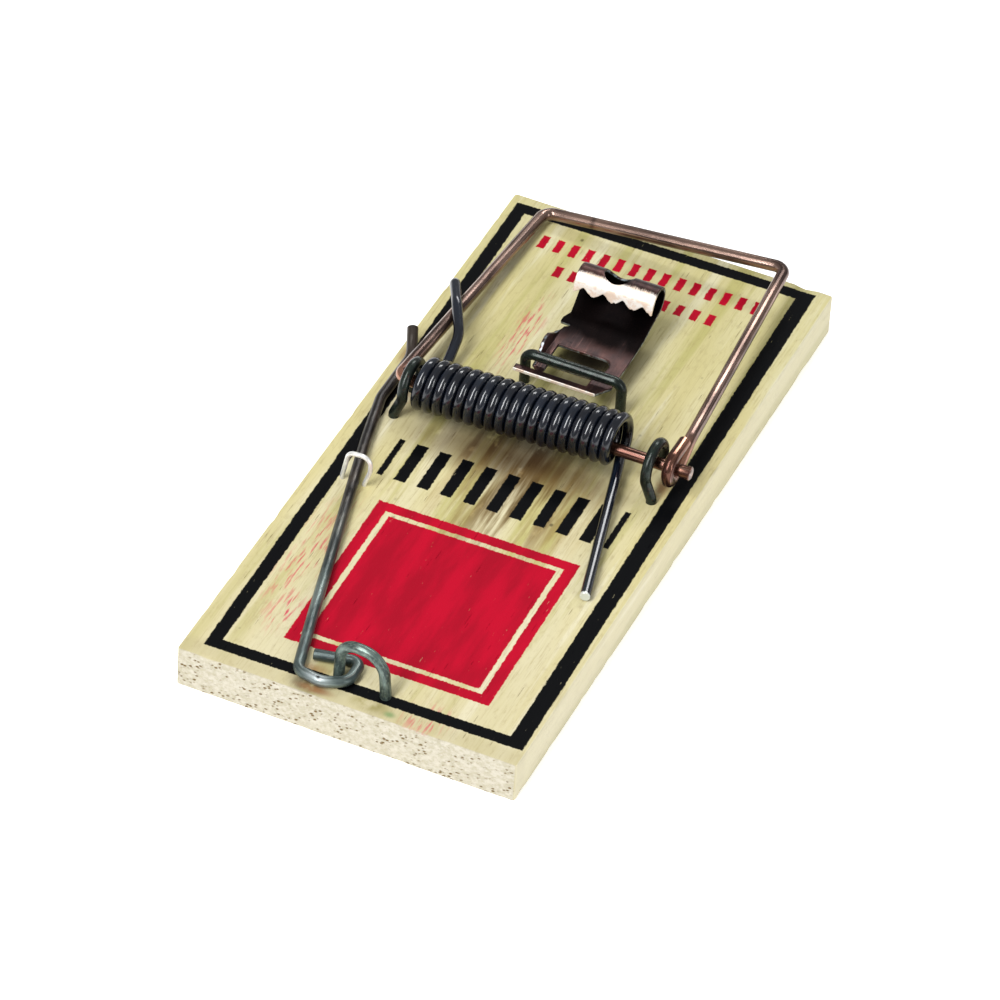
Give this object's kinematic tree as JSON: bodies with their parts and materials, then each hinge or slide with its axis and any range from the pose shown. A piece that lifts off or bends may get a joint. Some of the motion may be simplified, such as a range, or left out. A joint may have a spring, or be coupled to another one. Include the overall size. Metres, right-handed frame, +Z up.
{
  "type": "snap mouse trap",
  "caption": "Wooden-base snap mouse trap with a coil-sprung wire hammer, a wire lock bar and a curled sheet-metal bait pedal.",
  "frame": {"origin": "centre of the base's underside", "axes": "+X across the base to the hammer's eye, +Y along the base to the pedal end, +Z up"},
  "size_m": [0.0446, 0.0984, 0.014],
  "materials": {
    "wood": "unfinished pale softwood with printed top",
    "copper_plated_wire": "worn copper-plated steel wire",
    "blued_spring_wire": "glossy blue-black spring wire",
    "patinated_wire": "green-grey patinated steel wire",
    "lock_bar_wire": "dull grey-brown steel wire",
    "bright_thin_wire": "bright thin staple wire",
    "copper_sheet": "dark reddish copper-coated sheet steel"
  },
  "bodies": {
    "base": {"base": "wood", "axle_staple_left": "patinated_wire", "axle_staple_right": "patinated_wire", "eye_staple": "patinated_wire", "pedal_staple": "patinated_wire", "spring": "blued_spring_wire"},
    "hammer": {"hammer": "copper_plated_wire"},
    "lock_bar": {"lock_bar": "lock_bar_wire", "packaging_staple": "bright_thin_wire"},
    "pedal": {"pedal": "copper_sheet"}
  },
  "joints": [
    {"name": "hammer_swing", "type": "hinge", "parent": "base", "child": "hammer", "pos_m": [0, 0.0045, 0.0096], "axis": [1, 0, 0], "range_deg": [0, 172], "stiffness_Nm_per_rad": 0.07, "springref_deg": -97.4, "deforming": ["spring"]},
    {"name": "lock_bar_lift", "type": "hinge", "parent": "base", "child": "lock_bar", "pos_m": [-0.003, -0.04695, 0.00715], "axis": [1, 0, 0], "range_deg": [0, 38]},
    {"name": "pedal_tilt", "type": "hinge", "parent": "base", "child": "pedal", "pos_m": [0, 0.01545, 0.0103], "axis": [1, 0, 0], "range_deg": [-12, 9]}
  ]
}
